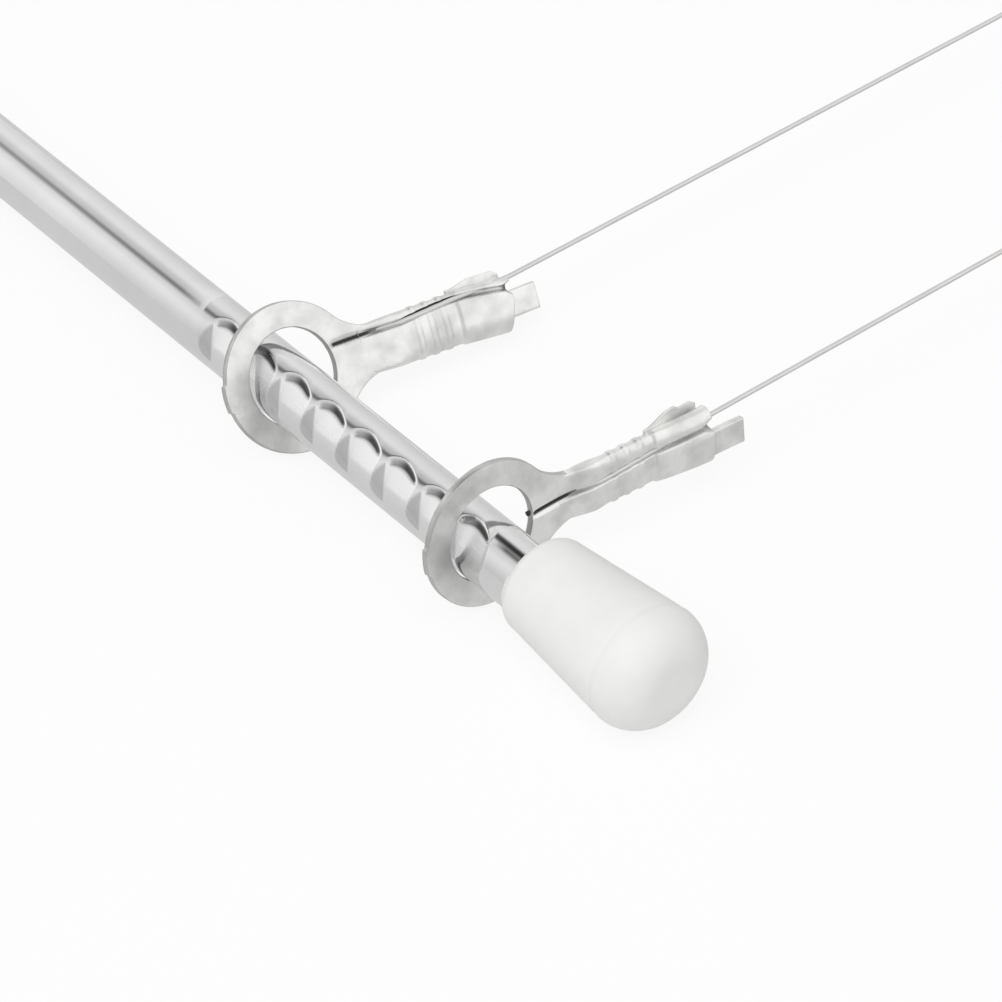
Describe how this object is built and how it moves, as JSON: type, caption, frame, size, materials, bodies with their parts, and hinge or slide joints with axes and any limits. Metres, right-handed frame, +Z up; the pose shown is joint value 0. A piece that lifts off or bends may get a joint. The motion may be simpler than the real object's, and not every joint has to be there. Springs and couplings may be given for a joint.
{
  "type": "cake leveler",
  "caption": "Bow-shaped wire cake leveler: bent steel tube with notched legs, rubber feet and crimped cutting wires that hang in the notches at a chosen height.",
  "frame": {"origin": "bottom centre of the leveler as it lies flat, on the table", "axes": "+X along the cutting wires, +Y from the feet to the top of the bow, +Z up from the table"},
  "size_m": [0.326, 0.185, 0.0174],
  "materials": {
    "tube": "bright polished steel",
    "foot": "soft matte white",
    "lug": "stamped and tinned, satin",
    "wire": "drawn, satin"
  },
  "bodies": {
    "bow": {"bow_frame": "tube", "left_foot": "foot", "right_foot": "foot"},
    "upper_wire_set": {"upper_wire": "wire", "upper_left_lug": "lug", "upper_right_lug": "lug"},
    "lower_wire_set": {"lower_wire": "wire", "lower_left_lug": "lug", "lower_right_lug": "lug"}
  },
  "joints": [
    {"name": "upper_wire_height", "type": "slide", "parent": "bow", "child": "upper_wire_set", "axis": [0, 1, 0], "range_m": [-0.0128, 0.0064]},
    {"name": "lower_wire_height", "type": "slide", "parent": "bow", "child": "lower_wire_set", "axis": [0, 1, 0], "range_m": [0, 0.0128]}
  ]
}
